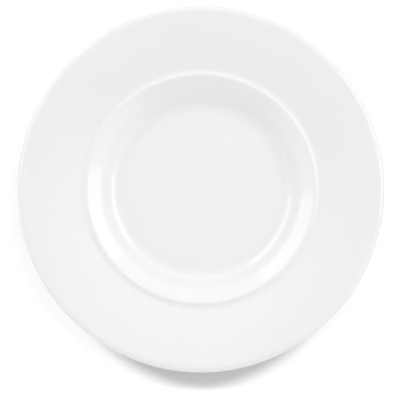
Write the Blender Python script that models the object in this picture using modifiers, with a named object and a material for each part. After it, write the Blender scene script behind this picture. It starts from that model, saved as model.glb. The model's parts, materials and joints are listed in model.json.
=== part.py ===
"""A round porcelain saucer with a wide rim and a deep well: the fired body, and the glaze on it.

Metres, +Z up. The origin is on the turning axis, in the plane that the foot stands on.
Every piece is turned: a path of (radius, height) points is swept round Z.
A path runs from the middle of the face, over the rim and back underneath, with the clay on its right.
"""

import math

import bpy
from mathutils import Matrix, Vector

# Plan of the face.
RIM_DIAMETER = 0.160
RIDGE_DIAMETER = 0.100  # the raised line round the well
FLOOR_DIAMETER = 0.0718  # where the floor of the well would meet the cove
COVE_WIDTH = 0.0034  # from there out to where the cove would meet the slope of the well
RIDGE_WIDTH = 0.0021  # from the ridge out to the start of the rim
EDGE_TAPER = 0.0026  # half the length of the ellipse that ends the rim

# Heights of the face.
WELL_DEPTH = 0.0071  # floor to ridge
WALL_BULGE = 0.0008  # how far the slope of the well crowns above a straight line
COVE_HEIGHT = 0.00104  # floor to where the cove would meet the slope
RIDGE_HEIGHT = 0.00066  # ridge above the start of the rim
RIM_RISE = 0.00516  # start of the rim to its top
RIM_BULGE = 0.0004  # how far the rim crowns above a straight line

# Thicknesses, glaze included.
FLOOR_THICKNESS = 0.0042
WALL_THICKNESS = 0.0034  # straight down from the start of the rim
EDGE_THICKNESS = 0.0028

# Foot.
FOOT_DIAMETER = 0.083  # outside, on the table
FOOT_WIDTH = 0.0034
FOOT_RECESS = 0.0032  # table to the underside of the base
FOOT_HEIGHT = 0.0055  # table to where the outside of the foot meets the wall
FOOT_LEAN = 0.0008  # how far each side of the foot leans from upright

# Roundings.
FLOOR_EDGE_RADIUS = 0.014  # floor into cove
COVE_RADIUS = 0.008  # cove into slope
CROWN_RADIUS = 0.010  # along the slope
RIDGE_RADIUS = 0.00165
RIM_START_RADIUS = 0.0039
RIM_CROWN_RADIUS = 0.160
UNDERSIDE_RADIUS = 0.012
FOOT_ROOT_RADIUS = 0.003
FOOT_EDGE_RADIUS = 0.0008
RECESS_RADIUS = 0.0009

# Glaze.
GLAZE_THICKNESS = 0.0002
GLAZE_LINE = 0.0014  # height on the foot where the glaze stops
BOND_GAP = 0.00005  # between the glaze and the clay that it is fired to

# Facets.
TURN_STEPS = 48
EDGE_FACETS = 10
MOST_TURN = math.radians(18)  # along an arc, from one facet to the next

# Colours.
CLAY_COLOUR = (0.80, 0.78, 0.75, 1.0)
GLAZE_COLOUR = (0.86, 0.86, 0.86, 1.0)

FLOOR_Z = FOOT_RECESS + FLOOR_THICKNESS
RIDGE_Z = FLOOR_Z + WELL_DEPTH
RIM_START_Z = RIDGE_Z - RIDGE_HEIGHT
RIM_Z = RIM_START_Z + RIM_RISE


def into_clay(direction):
    """A quarter turn to the right of this direction."""
    return Vector((direction.y, -direction.x))


def arc_at(corner, way_in, turn, radius):
    """The corner of a path that arrives in this direction, turned with an arc."""
    start = corner - way_in * radius * math.tan(abs(turn) / 2)
    to_centre = into_clay(way_in) * math.copysign(radius, turn)
    steps = max(2, math.ceil(abs(turn) / MOST_TURN))
    points = []
    for step in range(steps + 1):
        swing = Matrix.Rotation(-turn * step / steps, 2)
        points.append(start + to_centre - swing @ to_centre)
    return points


def path_through(first, corners, last):
    """The path from first to last, with an arc at each (corner, radius).

    Two arcs that would meet share the side between them.
    """
    stops = [first] + [corner for corner, _ in corners] + [last]
    sides = [after - before for before, after in zip(stops, stops[1:])]
    turns = [way_in.angle_signed(way_out) for way_in, way_out in zip(sides, sides[1:])]
    reaches = [radius * math.tan(abs(turn) / 2) for (_, radius), turn in zip(corners, turns)]
    needs = [before + after for before, after in zip([0] + reaches, reaches + [0])]
    shares = [min(1, 0.98 * side.length / need) for side, need in zip(sides, needs)]
    path = [first]
    for (corner, radius), way_in, turn, share in zip(corners, sides, turns, map(min, shares, shares[1:])):
        path += arc_at(corner, way_in.normalized(), turn, radius * share)
    return path + [last]


def inset(path, depth):
    """The path moved into the clay by this depth, square to each of its sides."""
    ways = [(after - before).normalized() for before, after in zip(path, path[1:])]
    moved = []
    for point, way_in, way_out in zip(path, ways[:1] + ways, ways + ways[-1:]):
        between = (into_clay(way_in) + into_clay(way_out)).normalized()
        moved.append(point + between * depth / between.dot(into_clay(way_in)))
    return moved


def edge_point(angle):
    """A point of the rim's edge, a half ellipse, by its angle from the top."""
    across = RIM_DIAMETER / 2 - EDGE_TAPER + EDGE_TAPER * math.sin(angle)
    return Vector((across, RIM_Z - EDGE_THICKNESS / 2 + EDGE_THICKNESS / 2 * math.cos(angle)))


def touch_angle(point, side):
    """The angle at which a line from this point touches the edge: side 1 on top, -1 underneath."""
    across = (point.x - edge_point(0).x) / EDGE_TAPER
    up = (point.y - edge_point(math.pi / 2).y) / (EDGE_THICKNESS / 2)
    return math.atan2(across, up) + side * math.acos(1 / math.hypot(across, up))


def face_path(stop):
    """The face, the edge and the underside, down to this height on the outside of the foot."""
    floor_edge = Vector((FLOOR_DIAMETER / 2, FLOOR_Z))
    well_base = floor_edge + Vector((COVE_WIDTH, COVE_HEIGHT))
    ridge = Vector((RIDGE_DIAMETER / 2, RIDGE_Z))
    crown = (well_base + ridge) / 2 - into_clay((ridge - well_base).normalized()) * WALL_BULGE
    rim_start = Vector((ridge.x + RIDGE_WIDTH, RIM_START_Z))
    under_start = rim_start - Vector((0, WALL_THICKNESS))
    foot_root = Vector((FOOT_DIAMETER / 2 + FOOT_LEAN, FOOT_HEIGHT))
    foot_side = foot_root.lerp(Vector((FOOT_DIAMETER / 2, 0)), 1 - stop / FOOT_HEIGHT)

    straight_end = edge_point(touch_angle(rim_start, 1))
    rim_line = (straight_end - rim_start).normalized()
    rim_middle = (rim_start + straight_end) / 2 - into_clay(rim_line) * RIM_BULGE

    top = touch_angle(rim_middle, 1)
    sweep = touch_angle(under_start, -1) + 2 * math.pi - top
    edge = [edge_point(top + sweep * facet / EDGE_FACETS) for facet in range(EDGE_FACETS + 1)]
    face_corners = [
        (floor_edge, FLOOR_EDGE_RADIUS),
        (well_base, COVE_RADIUS),
        (crown, CROWN_RADIUS),
        (ridge, RIDGE_RADIUS),
        (rim_start, RIM_START_RADIUS),
        (rim_middle, RIM_CROWN_RADIUS),
    ]
    face = path_through(Vector((0, FLOOR_Z)), face_corners, edge[0])
    under_corners = [(under_start, UNDERSIDE_RADIUS), (foot_root, FOOT_ROOT_RADIUS)]
    return face + edge[1:-1] + path_through(edge[-1], under_corners, foot_side)


def base_path(stop):
    """From this height on the inside of the foot, along the underside of the base to the axis."""
    foot_inside = Vector((FOOT_DIAMETER / 2 - FOOT_WIDTH, 0))
    recess = foot_inside + Vector((-FOOT_LEAN, FOOT_RECESS))
    foot_side = foot_inside.lerp(recess, stop / FOOT_RECESS)
    return path_through(foot_side, [(recess, RECESS_RADIUS)], Vector((0, FOOT_RECESS)))


def foot_path():
    """The bare foot between its two glaze lines."""
    outside = Vector((FOOT_DIAMETER / 2, 0))
    inside = Vector((FOOT_DIAMETER / 2 - FOOT_WIDTH, 0))
    corners = [(outside, FOOT_EDGE_RADIUS), (inside, FOOT_EDGE_RADIUS)]
    return path_through(face_path(GLAZE_LINE)[-1], corners, base_path(GLAZE_LINE)[0])


def material(name, colour, roughness):
    made = bpy.data.materials.new(name)
    made.use_nodes = True
    shader = made.node_tree.nodes["Principled BSDF"]
    shader.inputs["Base Color"].default_value = colour
    shader.inputs["Roughness"].default_value = roughness
    return made


def turned(name, path, finish):
    """A piece swept round Z from its path."""
    points = [(point.x, 0, point.y) for point in path]
    mesh = bpy.data.meshes.new(name)
    mesh.from_pydata(points, [(index, index + 1) for index in range(len(points) - 1)], [])
    mesh.materials.append(finish)
    piece = bpy.data.objects.new(name, mesh)
    pieces.objects.link(piece)
    piece.parent = saucer
    sweep = piece.modifiers.new("turn", "SCREW")
    sweep.axis = "Z"
    sweep.steps = TURN_STEPS
    sweep.render_steps = TURN_STEPS
    sweep.use_smooth_shade = True
    sweep.use_merge_vertices = True
    sweep.merge_threshold = 1e-6


for left_over in list(bpy.data.objects):
    bpy.data.objects.remove(left_over)

pieces = bpy.data.collections.new("saucer")
bpy.context.scene.collection.children.link(pieces)
saucer = bpy.data.objects.new("saucer", None)
pieces.objects.link(saucer)

# The fired clay. Its bare foot stands proud of the glazed parts by a coat of glaze.
glazed_depth = GLAZE_THICKNESS + BOND_GAP
clay_face = inset(face_path(GLAZE_LINE), glazed_depth)
clay_base = inset(base_path(GLAZE_LINE), glazed_depth)
turned("porcelain_body", clay_face + foot_path() + clay_base, material("bare_porcelain", CLAY_COLOUR, 0.55))

# The coat on the face, over the edge and down to the foot.
face = face_path(GLAZE_LINE + BOND_GAP)
face_coat = face + inset(face, GLAZE_THICKNESS)[::-1]
turned("face_glaze", face_coat, material("white_glaze", GLAZE_COLOUR, 0.08))

# The coat under the base, inside the foot.
base = base_path(GLAZE_LINE + BOND_GAP)
base_coat = inset(base, GLAZE_THICKNESS)[::-1] + base
turned("base_glaze", base_coat, material("white_base_glaze", GLAZE_COLOUR, 0.08))
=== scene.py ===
import json
import math

import bmesh
import bpy
from mathutils import Matrix, Vector


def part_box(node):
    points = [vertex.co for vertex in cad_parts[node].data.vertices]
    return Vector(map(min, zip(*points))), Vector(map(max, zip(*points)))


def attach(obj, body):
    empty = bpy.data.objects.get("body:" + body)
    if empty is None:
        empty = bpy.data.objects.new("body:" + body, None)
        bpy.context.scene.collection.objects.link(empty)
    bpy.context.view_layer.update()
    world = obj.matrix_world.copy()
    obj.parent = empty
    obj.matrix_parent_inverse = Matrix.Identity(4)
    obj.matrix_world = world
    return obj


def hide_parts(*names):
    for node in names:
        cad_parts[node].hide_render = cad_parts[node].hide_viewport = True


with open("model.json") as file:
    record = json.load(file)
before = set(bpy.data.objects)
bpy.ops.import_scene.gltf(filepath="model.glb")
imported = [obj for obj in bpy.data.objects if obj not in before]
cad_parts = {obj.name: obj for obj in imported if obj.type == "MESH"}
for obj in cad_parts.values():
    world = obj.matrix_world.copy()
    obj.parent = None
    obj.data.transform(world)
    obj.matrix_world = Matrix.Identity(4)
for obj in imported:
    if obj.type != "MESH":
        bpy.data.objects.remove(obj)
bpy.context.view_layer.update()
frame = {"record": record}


# The fired body is white porcelain clay, pressed on a turning mould and trimmed with a template, with rim,
# ridge, well and foot in one piece. Glaze hides all of it but the ring under the foot, which is wiped bare
# and ground level, so that it doesn't stick in the kiln or rock on a table.

rim_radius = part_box("face_glaze")[1].x
rim_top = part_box("face_glaze")[1].z
glaze_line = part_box("face_glaze")[0].z
mounts = {mount["name"]: mount for mount in frame["record"]["mounts"]}
seat_height = mounts["cup_seat"]["pos_m"][2]
glaze_thickness = 0.0002
bond_gap = 0.00005
recess_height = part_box("base_glaze")[1].z - glaze_thickness


def draw_outline(name, corners):
    """A wire in the XZ plane through these corners, each a (radius, height, rounding, facets).

    A small plane is merged to one point, and the point is drawn from corner to corner.
    """
    bpy.ops.object.select_all(action="DESELECT")
    bpy.ops.mesh.primitive_plane_add(size=0.001)
    piece = bpy.context.object
    piece.name = name
    piece.data.name = name
    bpy.ops.object.mode_set(mode="EDIT")
    bpy.ops.mesh.select_mode(type="VERT")
    bpy.ops.mesh.merge(type="CENTER")
    bpy.ops.transform.translate(value=(corners[0][0], 0, corners[0][1]))
    for before, after in zip(corners, corners[1:]):
        step = (after[0] - before[0], 0, after[1] - before[1])
        bpy.ops.mesh.extrude_vertices_move(TRANSFORM_OT_translate={"value": step})
    for radius, height, rounding, facets in corners:
        if rounding:
            round_corner(piece, Vector((radius, 0, height)), rounding, facets)
    return piece


def round_corner(piece, place, rounding, facets):
    """Bevels the wire's point at this place to an arc of this radius."""
    wire = bmesh.from_edit_mesh(piece.data)
    bpy.ops.mesh.select_all(action="DESELECT")
    corner = min(wire.verts, key=lambda point: (point.co - place).length)
    corner.select = True
    wire.select_flush_mode()
    sides = [edge.other_vert(corner).co - corner.co for edge in corner.link_edges]
    turn = math.pi - sides[0].angle(sides[1])
    bmesh.update_edit_mesh(piece.data)
    bpy.ops.mesh.bevel(offset=rounding * math.tan(turn / 2), segments=facets, affect="VERTICES")


steps_round = 192


def turn_outline():
    """Spins the wire once round the axis, closes the seam and the pole, and stays in edit mode."""
    bpy.ops.mesh.select_all(action="SELECT")
    bpy.ops.mesh.spin(steps=steps_round, angle=2 * math.pi, center=(0, 0, 0), axis=(0, 0, 1))
    bpy.ops.mesh.select_all(action="SELECT")
    bpy.ops.mesh.remove_doubles(threshold=1e-6)
    bpy.ops.mesh.normals_make_consistent(inside=False)


# The outline of the face, as glazed: the floor, the cove and the slope of the well, and the ridge round it.
floor_radius = 0.0359
cove_width = 0.0034
cove_height = 0.00104
ridge_radius = 0.0500
well_depth = 0.0071
wall_bulge = 0.0008
ridge_width = 0.0021
ridge_height = 0.00066
floor_edge = Vector((floor_radius, seat_height))
well_base = floor_edge + Vector((cove_width, cove_height))
ridge = Vector((ridge_radius, seat_height + well_depth))
wall = (ridge - well_base).normalized()
crown = (well_base + ridge) / 2 + Vector((-wall.y, wall.x)) * wall_bulge
rim_start = ridge + Vector((ridge_width, -ridge_height))

# The rolled edge is an ellipse, taken from where the rim's slope touches it to where the underside does.
wall_thickness = 0.0034
edge_taper = 0.0026
edge_half = 0.0014
under_start = rim_start - Vector((0, wall_thickness))
edge_middle = Vector((rim_radius - edge_taper, rim_top - edge_half))


def edge_point(angle):
    """A point of the edge, by its angle from the top."""
    return edge_middle + Vector((edge_taper * math.sin(angle), edge_half * math.cos(angle)))


def touch_angle(point, side):
    """The angle at which a line from this point touches the edge: side 1 on top, -1 underneath."""
    across = (point.x - edge_middle.x) / edge_taper
    up = (point.y - edge_middle.y) / edge_half
    return math.atan2(across, up) + side * math.acos(1 / math.hypot(across, up))


# The rim between the ridge and the edge is slightly crowned.
rim_bulge = 0.0004
straight_end = edge_point(touch_angle(rim_start, 1))
rim_line = (straight_end - rim_start).normalized()
rim_middle = (rim_start + straight_end) / 2 + Vector((-rim_line.y, rim_line.x)) * rim_bulge

floor_rounding = 0.014
cove_rounding = 0.008
crown_rounding = 0.010
ridge_rounding = 0.00165
dip_rounding = 0.0039
rim_rounding = 0.16
face_corners = [
    (0, seat_height, 0, 0),
    (*floor_edge, floor_rounding, 12),
    (*well_base, cove_rounding, 14),
    (*crown, crown_rounding, 12),
    (*ridge, ridge_rounding, 14),
    (*rim_start, dip_rounding, 14),
    (*rim_middle, rim_rounding, 10),
]
first_angle = touch_angle(rim_middle, 1)
last_angle = touch_angle(under_start, -1) + 2 * math.pi
edge_facets = 40
for facet in range(edge_facets + 1):
    point = edge_point(first_angle + (last_angle - first_angle) * facet / edge_facets)
    face_corners.append((*point, 0, 0))

# The underside, down to the glaze line on the outside of the foot.
foot_radius = 0.0415
foot_width = 0.0034
foot_height = 0.0055
foot_lean = 0.0008
under_rounding = 0.012
root_rounding = 0.003
foot_root = Vector((foot_radius + foot_lean, foot_height))
foot_outside = Vector((foot_radius, 0))
glaze_stop = foot_root.lerp(foot_outside, 1 - glaze_line / foot_root.y)
face_corners += [
    (*under_start, under_rounding, 8),
    (*foot_root, root_rounding, 12),
    (*glaze_stop, 0, 0),
]

# The inside of the foot and the underside of the base.
recess_rounding = 0.0009
foot_inside = Vector((foot_radius - foot_width, 0))
recess = Vector((foot_radius - foot_width - foot_lean, recess_height))
base_stop = foot_inside.lerp(recess, glaze_line / recess.y)
base_corners = [
    (*base_stop, 0, 0),
    (*recess, recess_rounding, 10),
    (0, recess_height, 0, 0),
]

# The bare foot between its two glaze lines. At each line a short step takes the clay down under the glaze.
step_height = 0.00002
foot_rounding = 0.0008
bare_outside = foot_root.lerp(foot_outside, 1 - (glaze_line - step_height) / foot_root.y)
bare_inside = foot_inside.lerp(recess, (glaze_line - step_height) / recess.y)
foot_corners = [
    (*bare_outside, 0, 0),
    (*foot_outside, foot_rounding, 8),
    (*foot_inside, foot_rounding, 8),
    (*bare_inside, 0, 0),
]

# The outline is turned, and all of it that is glazed is then sunk by the coat and its bond.
body = draw_outline("fired_body", face_corners + foot_corners + base_corners)
turn_outline()
clay = bmesh.from_edit_mesh(body.data)
bpy.ops.mesh.select_all(action="DESELECT")
for point in clay.verts:
    point.select = point.co.z > glaze_line - step_height / 2
clay.select_flush_mode()
bmesh.update_edit_mesh(body.data)
bpy.ops.transform.shrink_fatten(value=-(glaze_thickness + bond_gap), use_even_offset=True)
bpy.ops.object.mode_set(mode="OBJECT")
crease_angle = math.radians(40)
bpy.ops.object.shade_smooth_by_angle(angle=crease_angle)


def add_node(tree, kind, inputs, output=0, **settings):
    """Adds a node and gives one of its outputs. Each input is a value, or the output of another node."""
    node = tree.nodes.new("ShaderNode" + kind)
    for name, value in settings.items():
        setattr(node, name, value)
    for name, value in inputs.items():
        if isinstance(value, bpy.types.NodeSocket):
            tree.links.new(value, node.inputs[name])
        else:
            node.inputs[name].default_value = value
    return node.outputs[output]


def fade(tree, value, start, end, low, high):
    """A smooth change from low, where the value is at start, to high, where it is at end."""
    ends = {"Value": value, "From Min": start, "From Max": end, "To Min": low, "To Max": high}
    return add_node(tree, "MapRange", ends, interpolation_type="SMOOTHSTEP")


def mottled(tree, factor, first, second):
    """A colour between these two, by the factor."""
    ramp = tree.nodes.new("ShaderNodeValToRGB")
    ramp.color_ramp.elements[0].color = (*first, 1)
    ramp.color_ramp.elements[1].color = (*second, 1)
    tree.links.new(factor, ramp.inputs["Fac"])
    return ramp.outputs["Color"]


# Unglazed porcelain is matt and faintly cloudy. The ground ring has fine circular scratches, and some grey
# that it picked up on tables.
bare_clay = bpy.data.materials.new("bare_porcelain")
bare_clay.use_nodes = True
clay_tree = bare_clay.node_tree
clay_shader = clay_tree.nodes["Principled BSDF"]
clay_place = add_node(clay_tree, "TexCoord", {}, "Object")
clay_height = add_node(clay_tree, "SeparateXYZ", {"Vector": clay_place}, "Z")
clay_clouds = add_node(clay_tree, "TexNoise", {"Vector": clay_place, "Scale": 260, "Detail": 4})
clay_grain = add_node(clay_tree, "TexNoise", {"Vector": clay_place, "Scale": 2600, "Detail": 3})
grinding = add_node(
    clay_tree,
    "TexWave",
    {"Vector": clay_place, "Scale": 1100, "Distortion": 2, "Detail": 3, "Detail Scale": 0.4},
    "Fac",
    wave_type="RINGS",
    rings_direction="Z",
)
ground = fade(clay_tree, clay_height, start=0.0001, end=0.0004, low=1, high=0)
scratches = add_node(clay_tree, "Math", {0: grinding, 1: ground}, operation="MULTIPLY")
scratch_grey = 0.35
wear = {0: scratches, 1: scratch_grey, 2: clay_clouds}
worn = add_node(clay_tree, "Math", wear, operation="MULTIPLY_ADD")
clean_colour = (0.76, 0.745, 0.715)
worn_colour = (0.62, 0.605, 0.58)
clay_colour = mottled(clay_tree, worn, clean_colour, worn_colour)
clay_tree.links.new(clay_colour, clay_shader.inputs["Base Color"])
clay_roughness = fade(clay_tree, clay_grain, start=0.3, end=0.7, low=0.55, high=0.78)
clay_tree.links.new(clay_roughness, clay_shader.inputs["Roughness"])
scratch_depth = 0.6
relief = {0: scratches, 1: scratch_depth, 2: clay_grain}
clay_surface = add_node(clay_tree, "Math", relief, operation="MULTIPLY_ADD")
clay_bump = add_node(clay_tree, "Bump", {"Height": clay_surface, "Distance": 0.00003})
clay_tree.links.new(clay_bump, clay_shader.inputs["Normal"])
body.data.materials.append(bare_clay)
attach(body, "root")
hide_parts("porcelain_body")


# The glaze on the face is a clear glass fired onto the white body, so it looks as white as the clay and
# shines. It is dipped, and covers the face, the edge and the back in one coat that is wiped off just above
# the foot.

face_glaze = draw_outline("glaze_on_face", face_corners)
turn_outline()
bpy.ops.object.mode_set(mode="OBJECT")


def on_lip(place, lip_radius):
    """Whether this place is on the ring at the glaze line where the coat's outer side ends."""
    nearness = 1e-5
    return abs(place.z - glaze_line) < nearness and abs(place.xy.length - lip_radius) < nearness


def thicken(piece, lip_radius):
    """Gives the coat its thickness, towards the clay, and rounds its lip at the glaze line."""
    coat = piece.modifiers.new("coat", "SOLIDIFY")
    coat.thickness = glaze_thickness
    coat.offset = -1
    coat.use_even_offset = True
    bpy.ops.object.modifier_apply(modifier=coat.name)
    bpy.ops.object.mode_set(mode="EDIT")
    glass = bmesh.from_edit_mesh(piece.data)
    bpy.ops.mesh.select_mode(type="EDGE")
    bpy.ops.mesh.select_all(action="DESELECT")
    for edge in glass.edges:
        edge.select = all(on_lip(end.co, lip_radius) for end in edge.verts)
    bmesh.update_edit_mesh(piece.data)
    lip_rounding = glaze_thickness * 0.6
    bpy.ops.mesh.bevel(offset=lip_rounding, segments=4)
    bpy.ops.object.mode_set(mode="OBJECT")
    bpy.ops.object.shade_smooth_by_angle(angle=crease_angle)


thicken(face_glaze, glaze_stop.x)

# The coat is even to the eye. Close to, it is a little greyer where it ran thick, in the corner of the well
# and the dip beside the ridge, thins over the ridge and the edge, and has the slight ripple of a fired glass.
white_glaze = bpy.data.materials.new("white_glaze")
white_glaze.use_nodes = True
glaze_tree = white_glaze.node_tree
glaze_shader = glaze_tree.nodes["Principled BSDF"]
glaze_place = add_node(glaze_tree, "TexCoord", {}, "Object")
level_place = add_node(glaze_tree, "VectorMath", {0: glaze_place, 1: (1, 1, 0)}, operation="MULTIPLY")
from_axis = add_node(glaze_tree, "VectorMath", {0: level_place}, "Value", operation="LENGTH")


def band(radius, spread):
    """1 on the ring of this radius, and down to 0 at the spread on either side of it."""
    off = add_node(glaze_tree, "Math", {0: from_axis, 1: radius}, operation="SUBTRACT")
    off = add_node(glaze_tree, "Math", {0: off}, operation="ABSOLUTE")
    return fade(glaze_tree, off, start=0, end=spread, low=1, high=0)


well_corner = 0.0365
thick_rings = {0: band(well_corner, 0.004), 1: band(rim_start.x, 0.003)}
pooled = add_node(glaze_tree, "Math", thick_rings, operation="MAXIMUM")
thin_rings = {0: band(ridge.x, 0.0012), 1: band(rim_radius, 0.0015)}
thin = add_node(glaze_tree, "Math", thin_rings, operation="MAXIMUM")
run = add_node(glaze_tree, "Math", {0: thin, 1: pooled}, operation="SUBTRACT")
clouds = add_node(glaze_tree, "TexNoise", {"Vector": glaze_place, "Scale": 45, "Detail": 3})
whiteness = fade(glaze_tree, clouds, start=0.25, end=0.75, low=0.846, high=0.854)
run_shade = 0.004
whiteness = add_node(glaze_tree, "Math", {0: run, 1: run_shade, 2: whiteness}, operation="MULTIPLY_ADD")
glaze_tree.links.new(whiteness, glaze_shader.inputs["Base Color"])
smears = add_node(glaze_tree, "TexNoise", {"Vector": glaze_place, "Scale": 130, "Detail": 4})
glaze_roughness = fade(glaze_tree, smears, start=0.3, end=0.7, low=0.05, high=0.075)
glaze_tree.links.new(glaze_roughness, glaze_shader.inputs["Roughness"])
ripple = add_node(glaze_tree, "TexNoise", {"Vector": glaze_place, "Scale": 65, "Detail": 1})
peel = add_node(glaze_tree, "TexNoise", {"Vector": glaze_place, "Scale": 420, "Detail": 2})
peel_share = 0.1
fired_surface = add_node(glaze_tree, "Math", {0: peel, 1: peel_share, 2: ripple}, operation="MULTIPLY_ADD")
glaze_bump = add_node(glaze_tree, "Bump", {"Height": fired_surface, "Distance": 0.000015})
glaze_tree.links.new(glaze_bump, glaze_shader.inputs["Normal"])
glaze_shader.inputs["IOR"].default_value = 1.55
face_glaze.data.materials.append(white_glaze)
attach(face_glaze, "root")
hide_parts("face_glaze")


# The same glaze coats the underside of the base, inside the foot. It is dipped with the rest, and the bare
# foot parts it from the coat on the face.

base_glaze = draw_outline("glaze_under_base", base_corners)
turn_outline()
base_sheet = bmesh.from_edit_mesh(base_glaze.data)
middle = min(base_sheet.faces, key=lambda face: face.calc_center_median().xy.length)
if middle.normal.z > 0:
    bpy.ops.mesh.flip_normals()
bpy.ops.object.mode_set(mode="OBJECT")
thicken(base_glaze, base_stop.x)
base_glaze.data.materials.append(white_glaze)
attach(base_glaze, "root")
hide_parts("base_glaze")


# The floor is a sheet of pale paper, lifted a little where the camera or the glaze sees it. Two lamps behind
# the saucer light the paper alone, so that it is white but for the shadow in front, where the saucer hides
# both of them.

floor_width = 6
bpy.ops.object.select_all(action="DESELECT")
bpy.ops.mesh.primitive_plane_add(size=floor_width)
floor = bpy.context.object
floor.name = "paper_floor"
paper = bpy.data.materials.new("pale_paper")
paper.use_nodes = True
paper_tree = paper.node_tree
paper_shader = paper_tree.nodes["Principled BSDF"]
paper_place = add_node(paper_tree, "TexCoord", {}, "Object")
fibres = add_node(paper_tree, "TexNoise", {"Vector": paper_place, "Scale": 900, "Detail": 3})
paper_white = fade(paper_tree, fibres, start=0.3, end=0.7, low=0.56, high=0.58)
paper_shader.inputs["Roughness"].default_value = 0.9
paper_shader.inputs["Specular IOR Level"].default_value = 0
paper_shader.inputs["Emission Color"].default_value = (1, 1, 1, 1)

# Less light comes back up from the paper than is seen of it, so that it doesn't glare from below.
unseen_share = 0.5
seen_lift = 0.17
camera_ray = add_node(paper_tree, "LightPath", {}, "Is Camera Ray")
rays = camera_ray.node.outputs
seen = add_node(paper_tree, "Math", {0: camera_ray, 1: rays["Is Glossy Ray"]}, operation="MAXIMUM")
paper_seen = add_node(paper_tree, "Math", {0: seen, 1: rays["Is Transmission Ray"]}, operation="MAXIMUM")
paper_share = add_node(paper_tree, "MapRange", {"Value": paper_seen, "To Min": unseen_share, "To Max": 1})
paper_colour = add_node(paper_tree, "Math", {0: paper_white, 1: paper_share}, operation="MULTIPLY")
paper_tree.links.new(paper_colour, paper_shader.inputs["Base Color"])
paper_lift = add_node(paper_tree, "Math", {0: paper_seen, 1: seen_lift}, operation="MULTIPLY")
paper_tree.links.new(paper_lift, paper_shader.inputs["Emission Strength"])
floor.data.materials.append(paper)

lit_floor = bpy.data.collections.new("lit_by_floor_lamps")
lit_floor.objects.link(floor)
lamp_tilt = math.radians(-41)
lamp_swing = math.radians(50)
for side in (-1, 1):
    floor_lamp = bpy.data.lights.new("floor_lamp", "SUN")
    floor_lamp.energy = 3
    floor_lamp.angle = math.radians(16)
    lamp_stand = bpy.data.objects.new("floor_lamp", floor_lamp)
    lamp_stand.rotation_euler = (lamp_tilt, 0, lamp_swing * side)
    bpy.context.collection.objects.link(lamp_stand)
    lamp_stand.light_linking.receiver_collection = lit_floor


# The saucer stands in a tent of white cloth that is dim overhead, round the hole for the camera. Two
# softboxes shine through the cloth behind it, and a dark card in front keeps glare off the far side of the
# well.

tent = bpy.data.worlds.new("tent")
bpy.context.scene.world = tent
tent.use_nodes = True
tent_tree = tent.node_tree
outlook = add_node(tent_tree, "TexCoord", {}, "Generated")


def in_degrees(angle):
    """This angle, turned from radians to degrees."""
    return add_node(tent_tree, "Math", {0: angle}, operation="DEGREES")


def away_from(direction):
    """How far the outlook is from this direction, in degrees."""
    towards = {0: outlook, 1: direction.normalized()}
    closeness = add_node(tent_tree, "VectorMath", towards, "Value", operation="DOT_PRODUCT")
    return in_degrees(add_node(tent_tree, "Math", {0: closeness}, operation="ARCCOSINE"))


def levels(angle, stops):
    """The cloth's brightness by an angle, through these (degrees, brightness) stops."""
    ramp = tent_tree.nodes.new("ShaderNodeValToRGB")
    share = add_node(tent_tree, "Math", {0: angle, 1: 90}, operation="DIVIDE")
    tent_tree.links.new(share, ramp.inputs["Fac"])
    shades = ramp.color_ramp.elements
    while len(shades) < len(stops):
        shades.new(1)
    for shade, (degrees, brightness) in zip(shades, stops):
        shade.position = degrees / 90
        shade.color = (brightness, brightness, brightness, 1)
    return ramp.outputs["Color"]


zenith = away_from(Vector((0, 0, 1)))
dim_patch = Vector((-0.09, -0.11, 1))
cloth_stops = [(0, 0.4), (18, 0.07), (46, 1.5), (66, 1.48), (90, 0.2)]
cloth = levels(away_from(dim_patch), cloth_stops)

# The cloth is a little brighter on the right, and a trace brighter behind.
brighter_side = (0.14, 0.035, 0)
across_x = add_node(tent_tree, "SeparateXYZ", {"Vector": outlook}, "X")
across_y = across_x.node.outputs["Y"]
bearing = in_degrees(add_node(tent_tree, "Math", {0: across_y, 1: across_x}, operation="ARCTAN2"))
gain = add_node(tent_tree, "VectorMath", {0: outlook, 1: brighter_side}, "Value", operation="DOT_PRODUCT")
gain = add_node(tent_tree, "Math", {0: gain, 1: 1}, operation="ADD")
cloth = add_node(tent_tree, "Math", {0: cloth, 1: gain}, operation="MULTIPLY")


def panel(middle, half_width, soft, top, foot):
    """1 inside a panel of the tent, by the bearing of its middle and half its width, with soft sides.

    Its top and its foot each fade over a span of degrees from overhead.
    """
    aside = add_node(tent_tree, "Math", {0: bearing, 1: middle}, operation="SUBTRACT")
    aside = add_node(tent_tree, "Math", {0: aside, 1: 180, 2: -180}, operation="WRAP")
    aside = add_node(tent_tree, "Math", {0: aside}, operation="ABSOLUTE")
    over = add_node(tent_tree, "Math", {0: aside, 1: half_width}, operation="SUBTRACT")
    sides = fade(tent_tree, over, start=-soft, end=soft, low=1, high=0)
    below_top = fade(tent_tree, zenith, *top, low=0, high=1)
    above_foot = fade(tent_tree, zenith, *foot, low=1, high=0)
    height = add_node(tent_tree, "Math", {0: below_top, 1: above_foot}, operation="MULTIPLY")
    return add_node(tent_tree, "Math", {0: sides, 1: height}, operation="MULTIPLY")


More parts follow.
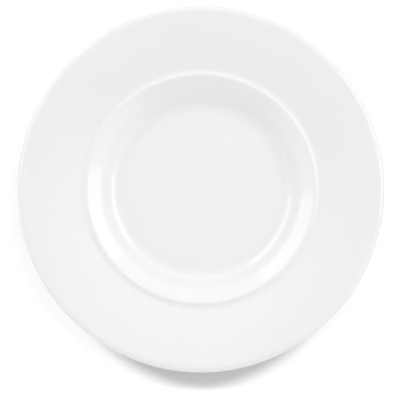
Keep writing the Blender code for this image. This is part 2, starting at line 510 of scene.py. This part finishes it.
card_width = fade(tent_tree, zenith, start=21, end=40, low=24, high=42)
card = panel(middle=262, half_width=card_width, soft=11, top=(19.3, 22.3), foot=(29.5, 81))
right_box = panel(middle=18.8, half_width=25.5, soft=1.5, top=(32, 35), foot=(54, 57))
left_box = panel(middle=148.8, half_width=24.7, soft=1.5, top=(38.5, 41.5), foot=(62, 65))

# The card covers the cloth, the boxes add to it, and the tent ends at the floor. The camera itself sees
# plain white beyond the paper.
card_shade = 0.06
box_strength = 1.38
uncovered = add_node(tent_tree, "Mix", {"Factor": card, "A": cloth, "B": card_shade}, "Result")
right_lit = {0: right_box, 1: box_strength, 2: uncovered}
with_right = add_node(tent_tree, "Math", right_lit, operation="MULTIPLY_ADD")
left_lit = {0: left_box, 1: box_strength, 2: with_right}
with_left = add_node(tent_tree, "Math", left_lit, operation="MULTIPLY_ADD")
above_floor = fade(tent_tree, zenith, start=90, end=91, low=1, high=0)
inside = add_node(tent_tree, "Math", {0: with_left, 1: above_floor}, operation="MULTIPLY")
in_view = add_node(tent_tree, "LightPath", {}, "Is Camera Ray")
shown = add_node(tent_tree, "Mix", {"Factor": in_view, "A": inside, "B": 1}, "Result")
tent_tree.links.new(shown, tent_tree.nodes["Background"].inputs["Strength"])
tent_tree.nodes["Background"].inputs["Color"].default_value = (1, 1, 1, 1)


# The camera looks almost straight down from about a metre up, a little from the front and the right. Its aim
# and its lens give the rim its place and its size in the picture.

lens = bpy.data.cameras.new("camera")
camera = bpy.data.objects.new("camera", lens)
bpy.context.collection.objects.link(camera)
bpy.context.scene.camera = camera
distance = 0.95
image_side = 400
rim_radius_px = 183.7
rim_middle_px = (200.5, 188.3)
from_front = math.radians(2.5)
from_right = math.radians(2)
towards = Vector((math.sin(from_right), -math.sin(from_front), 1)).normalized()
across = Vector((0, 1, 0)).cross(towards).normalized()
upwards = towards.cross(across)
metres_per_px = rim_radius / rim_radius_px
aim = Vector((0, 0, edge_middle.y))
aim += across * (image_side / 2 - rim_middle_px[0]) * metres_per_px
aim -= upwards * (image_side / 2 - rim_middle_px[1]) * metres_per_px
place = Matrix((across, upwards, towards)).transposed().to_4x4()
place.translation = aim + towards * distance
camera.matrix_world = place
lens.sensor_width = 36
lens.lens = lens.sensor_width * distance / (image_side * metres_per_px)

bpy.context.scene.view_settings.view_transform = "Standard"
